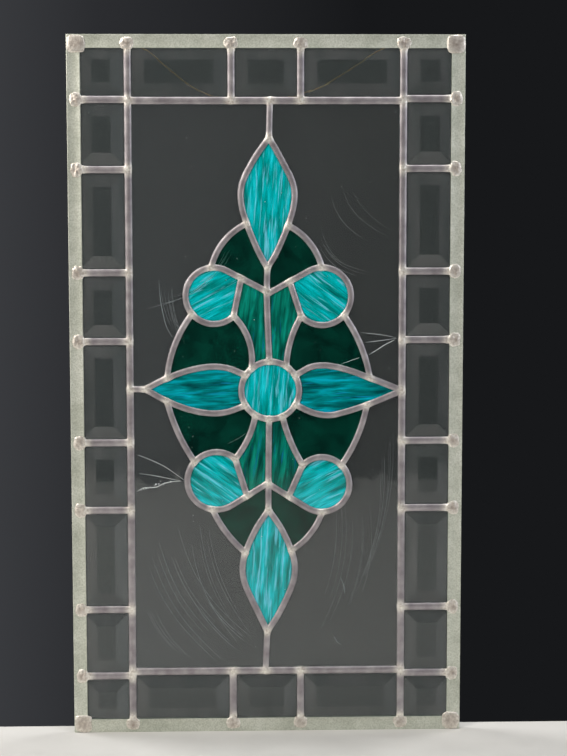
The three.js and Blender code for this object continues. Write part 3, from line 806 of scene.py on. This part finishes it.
def swept(start, end, bend, count, spread, thickness, seed):
    """A family of curved cords side by side, each bowed a little more than the last, of random length and
    thickness.
    """
    rng = random.Random(seed)
    start, end, spread = Vector(start), Vector(end), Vector(spread)
    across = Vector((start.y - end.y, end.x - start.x)).normalized()
    family = []
    for i in range(count):
        shift = spread * (i / max(1, count - 1)) + Vector((rng.uniform(-2, 2), rng.uniform(-2, 2)))
        first, last = rng.uniform(0, 0.25), rng.uniform(0.7, 1)
        route = []
        for k in range(6):
            t = first + (last - first) * k / 5
            lift = math.sin(math.pi * t) * bend * (1 + 0.25 * i / count)
            route.append(start.lerp(end, t) + shift + across * lift)
        family.append((route, thickness * rng.uniform(0.5, 1.0)))
    return family


# The cords are painted pale grey, a painted glint along each; cracked edges scatter light, so they read
# as fine white lines.
cord_glass_painted_glint, tree, shader = new_material("unmelted_cord_glass_painted_glint", Roughness=0.3, IOR=1.5,
                                        Transmission_Weight=0.5, Base_Color=linear("#b9c2c4"))
relief(tree, shader, grain(tree, object_points(tree), 0.8), 0.0001, 0.3)
crack_glass, tree, shader = new_material("fractured_glass_edge", Roughness=0.25, IOR=1.5,
                                         Transmission_Weight=0.25, Base_Color=linear("#f2f7f7"))
relief(tree, shader, grain(tree, object_points(tree), 1.5), 0.0002, 0.5)

cords = [([(-82, 84), (-81, 70), (-79, 58), (-76, 47), (-72, 40)], 0.5)]
cords += swept((-80, 86), (-67, 36), -3, 7, (9, -4), 0.22, 1)
cords += swept((-94, 60), (-30, 112), -13, 6, (10, 12), 0.2, 2)
cords += swept((-62, -155), (-18, -208), -4, 4, (8, 8), 0.4, 3)
cords += swept((-46, -95), (-6, -196), -8, 5, (-14, -6), 0.3, 4)
cords += swept((-99, -118), (-40, -214), -9, 7, (26, 18), 0.3, 5)
cords += swept((-100, -160), (-62, -216), -5, 4, (8, 2), 0.2, 6)
cords += swept((52, -68), (30, -196), 11, 7, (24, -4), 0.2, 7)
cords += swept((98, -30), (72, -160), 9, 6, (-12, -14), 0.18, 8)
cords += swept((98, 120), (60, 168), 8, 3, (-12, -10), 0.1, 9)
cords += swept((78, 84), (34, 124), 10, 4, (5, 5), 0.14, 10)
cords += [([(57, -148), (59, -153), (60, -160)], 0.5), ([(52, -194), (54, -198), (57, -200)], 0.45)]
cords += [([(-16, -34), (-22, -38), (-30, -42)], 0.25)]
# The cords' pale grey is painted glint on clear glass.
hair_lines("glass_cords_painted_glints", cords, cord_glass_painted_glint)

cracks = [
    ([(99, 39), (92, 40.5), (86, 41.5), (72, 43)], 0.3), ([(99, 38.5), (88, 37), (75.5, 35.5)], 0.35),
    ([(98, 37.5), (90, 33.5), (84, 29.6), (78, 26)], 0.6), ([(71, 24), (64, 21.5), (57, 19)], 0.4),
    ([(-64, -70), (-71, -65), (-78, -60), (-88, -55), (-99, -50.5)], 0.35),
    ([(-66, -71), (-80, -68), (-90, -66), (-98, -65)], 0.3),
    ([(-66, -71), (-74, -71.5), (-80, -73), (-85, -75.5), (-90, -76), (-95, -76), (-100, -79)], 0.7),
]
hair_lines("glass_cracks", cracks, crack_glass, wall=2.4)

# Splinters along the chipped crack, and seeds and specks of grit fixed in the sheet.
rng = random.Random(11)
specks = [(Vector((-74 - 2.1 * i, -71.5 - 0.55 * i)) + Vector((rng.uniform(-1, 1), rng.uniform(-1, 1))),
           rng.uniform(0.3, 0.75)) for i in range(12)]
specks += [(Vector((rng.uniform(-99, 98), rng.uniform(-212, 212))), rng.uniform(0.12, 0.32))
           for _ in range(90)]
clear_selection()
shards = []
for place, size in specks:
    bpy.ops.mesh.primitive_ico_sphere_add(subdivisions=1, radius=size, location=(*place, front_face))
    shard = bpy.context.object
    for vertex in shard.data.vertices:
        vertex.co *= 1 + 0.5 * noise.noise(Vector((*place, 0)) + vertex.co * 3)
        vertex.co.z *= 0.3
    shards.append(shard)
for shard in shards:
    shard.select_set(True)
bpy.ops.object.join()
splinters = bpy.context.object
splinters.name = "glass_seeds_and_splinters"
bpy.ops.object.transform_apply(location=True, rotation=True, scale=True)
stand_up(splinters)
finish_piece(splinters, crack_glass, "clear_glass")


# ------------------------------------------------------------------ hangers and wire
# Two rings of copper wire are soldered to the back of the top bar. One soft copper wire is tied
# to both, and hangs in a slack bow behind the border plates, with a small twist in its middle.
copper, tree, shader = new_material("drawn_copper_wire", Metallic=0.5, Roughness=0.4)
# The copper is painted a pale gold, brighter than bare copper: a painted sheen for the wire's bright
# reflection, over random tarnish.
tarnish_and_painted_sheen = grain(tree, object_points(tree), 0.5, 4)
tree.links.new(ramp(tree, tarnish_and_painted_sheen, [(0.35, "#f0a63f"), (0.65, "#ffd070")]), shader.inputs["Base Color"])
relief(tree, shader, grain(tree, object_points(tree), 3), 0.00003, 0.3)

wire_diameter = 0.9
wire_route = [
    (-101.5, 3.9, 260.7), (-97, 4.5, 259.2), (-88.5, 4.8, 255), (-76, 4.7, 244.6), (-63, 4.6, 233.8),
    (-52, 4.5, 227.2), (-40.5, 4.5, 222.3), (-28, 4.4, 219.5), (-15, 4.4, 218.6), (-4, 4.4, 219.5),
    (4, 4.4, 220.8), (13, 4.4, 221), (22, 4.4, 222.3), (32.3, 4.5, 225.6), (47, 4.5, 232),
    (61.5, 4.6, 240.8), (81, 4.7, 253.4), (90, 4.9, 258), (96, 4.5, 260.2), (100.5, 3.9, 260.7),
]


def in_panel(point):
    """A point given in millimetres from the middle of the panel, in the row's frame."""
    return middle + Vector(point) * MM


def wire_curve(name, points, diameter, closed=False):
    data = bpy.data.curves.new(name, "CURVE")
    data.dimensions = "3D"
    data.bevel_depth = diameter * MM / 2
    data.bevel_resolution = 3
    data.use_fill_caps = True
    spline = data.splines.new("POLY")
    spline.points.add(len(points) - 1)
    for point, place in zip(spline.points, points):
        point.co = (*in_panel(place), 1)
    spline.use_cyclic_u = closed
    wire = bpy.data.objects.new(name, data)
    bpy.context.scene.collection.objects.link(wire)
    wire.data.materials.append(copper)
    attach(wire, "root")
    return wire


def coil(axis_point, along, radius, turns, pitch):
    """Turns of wire round a run of wire."""
    along = Vector(along).normalized()
    side = along.cross(Vector((0, 1, 0))).normalized()
    up = along.cross(side)
    count = round(turns * 14)
    path = []
    for i in range(count + 1):
        angle = 2 * math.pi * i / 14
        shift = along * (pitch * (i / 14 - turns / 2))
        path.append(Vector(axis_point) + shift + (side * math.cos(angle) + up * math.sin(angle)) * radius)
    return path


strand = wire_curve("hanging_wire_strand", wire_route, wire_diameter)
ties = [
    wire_curve("wire_tie_left", coil((-96, 4.45, 259), (-1, 0, 0.35), 0.62, 7, 0.55), 0.4),
    wire_curve("wire_tie_right", coil((95, 4.45, 259.9), (1, 0, 0.35), 0.62, 7, 0.55), 0.4),
    wire_curve("wire_twist_left", coil((3.7, 4.4, 220.8), (1, 0, 0.05), 0.64, 4, 0.5), 0.4),
    wire_curve("wire_twist_middle", coil((9.6, 4.4, 220.95), (1, 0, 0.02), 0.64, 3, 0.5), 0.4),
    wire_curve("wire_twist_right", coil((12.9, 4.4, 221), (1, 0, 0.03), 0.64, 3, 0.5), 0.4),
]
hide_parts("hanging_wire")

ring_radius, ring_wire = 3.0, 1.0
ring_depth, ring_level, drop_level = 3.8, 263.2, 265.2
for hand in sides:
    centre = Vector((uprights[hand], ring_depth, ring_level))
    points = [centre + Vector((math.cos(a), 0, math.sin(a))) * ring_radius
              for a in [2 * math.pi * i / 32 for i in range(32)]]
    ring = wire_curve(f"hanger_ring_{hand}", points, ring_wire, closed=True)
    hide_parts(f"hanger_{hand}")
    spot = Vector((uprights[hand], drop_level))
    drop = solder_lump(spot, (3.2, 2.3), 1.5, 0, 0.9, 60 + sides[hand])
    drop.name = f"hanger_solder_{hand}"
    mark(drop, "solder", [spot], all_over)
    mark(drop, "stain", [spot], 3)
    for vertex in drop.data.vertices:
        vertex.co.x = 2 * uprights[hand] - vertex.co.x
        vertex.co.z = -zinc_front - vertex.co.z
    stand_up(drop)
    smoothed(drop)
    finish_piece(drop, lead_paint, "lead")
